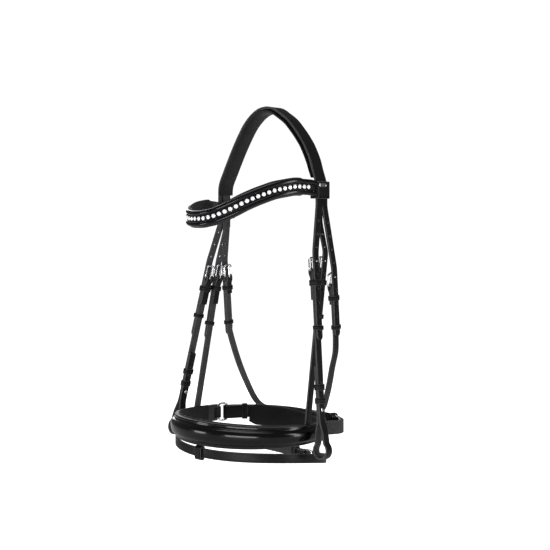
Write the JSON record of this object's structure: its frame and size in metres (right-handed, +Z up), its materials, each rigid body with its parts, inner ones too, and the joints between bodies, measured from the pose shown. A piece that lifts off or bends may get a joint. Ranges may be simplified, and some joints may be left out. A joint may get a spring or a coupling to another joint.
{
  "type": "snaffle bridle",
  "caption": "Leather headpiece bridle with padded crown, curved crystal browband, buckled cheekpieces, rolled padded noseband with flash strap, and throatlash, without bit or reins.",
  "frame": {"origin": "underside of the crown padding at the middle of the poll, where the bridle hangs", "axes": "+Z up, -Y the way the horse faces, +X the horse's left side"},
  "size_m": [0.2884, 0.237, 0.5212],
  "materials": {
    "leather": "smooth bridle leather, satin",
    "patent_leather": "polished",
    "padding": "soft matte lining",
    "hardware": "polished steel",
    "crystal_setting": "bright",
    "crystal": "faceted"
  },
  "bodies": {
    "headpiece": {"crown_strap": "leather", "crown_padding": "padding", "sliphead": "leather"},
    "browband": {"browband_leather": "leather", "browband_padding": "padding", "browband_rims": "patent_leather", "crystal_cups": "crystal_setting", "crystals": "crystal", "browband_badge": "hardware"},
    "left_cheekpiece": {"left_cheek_strap": "leather", "left_cheek_frame": "hardware", "left_cheek_billet_tip": "leather", "left_cheek_fixed_keepers": "leather", "left_cheek_hook_stud": "hardware"},
    "right_cheekpiece": {"right_cheek_strap": "leather", "right_cheek_frame": "hardware", "right_cheek_billet_tip": "leather", "right_cheek_fixed_keepers": "leather", "right_cheek_hook_stud": "hardware"},
    "noseband": {"left_hanger_strap": "leather", "left_hanger_frame": "hardware", "left_hanger_billet_tip": "leather", "left_hanger_fixed_keeper": "leather", "right_hanger_strap": "leather", "right_hanger_frame": "hardware", "right_hanger_billet_tip": "leather", "right_hanger_fixed_keeper": "leather", "nosepiece": "patent_leather", "nosepiece_padding": "padding", "jaw_strap": "leather", "jaw_pad": "padding", "jaw_frame": "hardware", "jaw_keepers": "leather", "flash_loop": "leather"},
    "flash": {"flash_strap": "leather", "flash_frame": "hardware", "flash_keeper": "leather"},
    "throatlash": {"throatlash_strap": "leather", "throatlash_fixed_keepers": "leather", "left_throat_frame": "hardware", "left_throat_billet_tip": "leather", "right_throat_frame": "hardware", "right_throat_billet_tip": "leather"},
    "left_ring": {"left_nose_ring": "hardware"},
    "left_cheek_tongue": {"left_cheek_tongue": "hardware"},
    "left_cheek_keeper": {"left_cheek_running_keeper": "leather"},
    "left_hanger_tongue": {"left_hanger_tongue": "hardware"},
    "left_hanger_keeper": {"left_hanger_running_keeper": "leather"},
    "left_throat_tongue": {"left_throat_tongue": "hardware"},
    "left_throat_keeper": {"left_throat_running_keeper": "leather"},
    "right_ring": {"right_nose_ring": "hardware"},
    "right_cheek_tongue": {"right_cheek_tongue": "hardware"},
    "right_cheek_keeper": {"right_cheek_running_keeper": "leather"},
    "right_hanger_tongue": {"right_hanger_tongue": "hardware"},
    "right_hanger_keeper": {"right_hanger_running_keeper": "leather"},
    "right_throat_tongue": {"right_throat_tongue": "hardware"},
    "right_throat_keeper": {"right_throat_running_keeper": "leather"},
    "jaw_tongue": {"jaw_tongue": "hardware"},
    "flash_tongue": {"flash_tongue": "hardware"}
  },
  "joints": [
    {"name": "browband_slide", "type": "slide", "parent": "headpiece", "child": "browband", "axis": [0, 0, 1], "range_m": [-0.004, 0.003]},
    {"name": "left_cheek_swing", "type": "hinge", "parent": "headpiece", "child": "left_cheekpiece", "pos_m": [0.10068, -0.02467, -0.19893], "axis": [0, -0.9954, 0.0963], "range_deg": [0, 45]},
    {"name": "right_cheek_swing", "type": "hinge", "parent": "headpiece", "child": "right_cheekpiece", "pos_m": [-0.10046, -0.02328, -0.21611], "axis": [0, 0.9881, -0.154], "range_deg": [0, 45]},
    {"name": "noseband_swing", "type": "hinge", "parent": "headpiece", "child": "noseband", "pos_m": [0.00002, -0.0029, -0.20788], "axis": [0.9965, -0.0017, 0.0839], "range_deg": [-2, 0]},
    {"name": "throatlash_swing", "type": "hinge", "parent": "headpiece", "child": "throatlash", "pos_m": [0, 0.01359, -0.21908], "axis": [0.9996, 0, -0.0288], "range_deg": [0, 12]},
    {"name": "flash_swing", "type": "hinge", "parent": "noseband", "child": "flash", "pos_m": [0, -0.1486, -0.4647], "axis": [1, 0, 0], "range_deg": [-7, 0]},
    {"name": "left_cheek_tongue_hinge", "type": "hinge", "parent": "left_cheekpiece", "child": "left_cheek_tongue", "pos_m": [0.09842, -0.02703, -0.22335], "axis": [0, -0.9954, 0.0963], "range_deg": [0, 100]},
    {"name": "left_hanger_tongue_hinge", "type": "hinge", "parent": "noseband", "child": "left_hanger_tongue", "pos_m": [0.0964, -0.00751, -0.22306], "axis": [0, -0.9829, 0.184], "range_deg": [0, 100]},
    {"name": "left_throat_tongue_hinge", "type": "hinge", "parent": "throatlash", "child": "left_throat_tongue", "pos_m": [0.0984, 0.0155, -0.246], "axis": [0, -0.9968, -0.0797], "range_deg": [0, 100]},
    {"name": "left_cheek_keeper_slide", "type": "slide", "parent": "left_cheekpiece", "child": "left_cheek_keeper", "axis": [0.1352, -0.0954, -0.9862], "range_m": [-0.004, 0.008]},
    {"name": "left_hanger_keeper_slide", "type": "slide", "parent": "noseband", "child": "left_hanger_keeper", "axis": [0.0234, -0.184, -0.9827], "range_m": [-0.006, 0.002]},
    {"name": "left_throat_keeper_slide", "type": "slide", "parent": "throatlash", "child": "left_throat_keeper", "axis": [0, 0.0797, -0.9968], "range_m": [-0.012, 0.004]},
    {"name": "right_cheek_tongue_hinge", "type": "hinge", "parent": "right_cheekpiece", "child": "right_cheek_tongue", "pos_m": [-0.09843, -0.02706, -0.24037], "axis": [0, 0.9881, -0.154], "range_deg": [0, 100]},
    {"name": "right_hanger_tongue_hinge", "type": "hinge", "parent": "noseband", "child": "right_hanger_tongue", "pos_m": [-0.0964, -0.00751, -0.24006], "axis": [0, 0.9801, -0.1984], "range_deg": [0, 100]},
    {"name": "right_throat_tongue_hinge", "type": "hinge", "parent": "throatlash", "child": "right_throat_tongue", "pos_m": [-0.0984, 0.0155, -0.24], "axis": [0, 0.9968, 0.0797], "range_deg": [0, 100]},
    {"name": "right_cheek_keeper_slide", "type": "slide", "parent": "right_cheekpiece", "child": "right_cheek_keeper", "axis": [-0.1439, -0.1524, -0.9778], "range_m": [-0.012, 0.001]},
    {"name": "right_hanger_keeper_slide", "type": "slide", "parent": "noseband", "child": "right_hanger_keeper", "axis": [-0.0252, -0.1983, -0.9798], "range_m": [-0.003, 0.012]},
    {"name": "right_throat_keeper_slide", "type": "slide", "parent": "throatlash", "child": "right_throat_keeper", "axis": [0, 0.0797, -0.9968], "range_m": [-0.024, 0.004]},
    {"name": "jaw_tongue_hinge", "type": "hinge", "parent": "noseband", "child": "jaw_tongue", "pos_m": [0.08652, 0.03986, -0.4438], "axis": [0, 0, -1], "range_deg": [0, 55]},
    {"name": "flash_tongue_hinge", "type": "hinge", "parent": "flash", "child": "flash_tongue", "pos_m": [0.0145, 0.057, -0.50135], "axis": [0.0186, -0.0026, -0.9998], "range_deg": [0, 60]},
    {"name": "left_ring_swivel", "type": "hinge", "parent": "noseband", "child": "left_ring", "pos_m": [0.09835, -0.00521, -0.44325], "axis": [0, 0, 1], "range_deg": [-4, 4]},
    {"name": "right_ring_swivel", "type": "hinge", "parent": "noseband", "child": "right_ring", "pos_m": [-0.09835, -0.00521, -0.44325], "axis": [0, 0, 1], "range_deg": [-4, 4]}
  ]
}
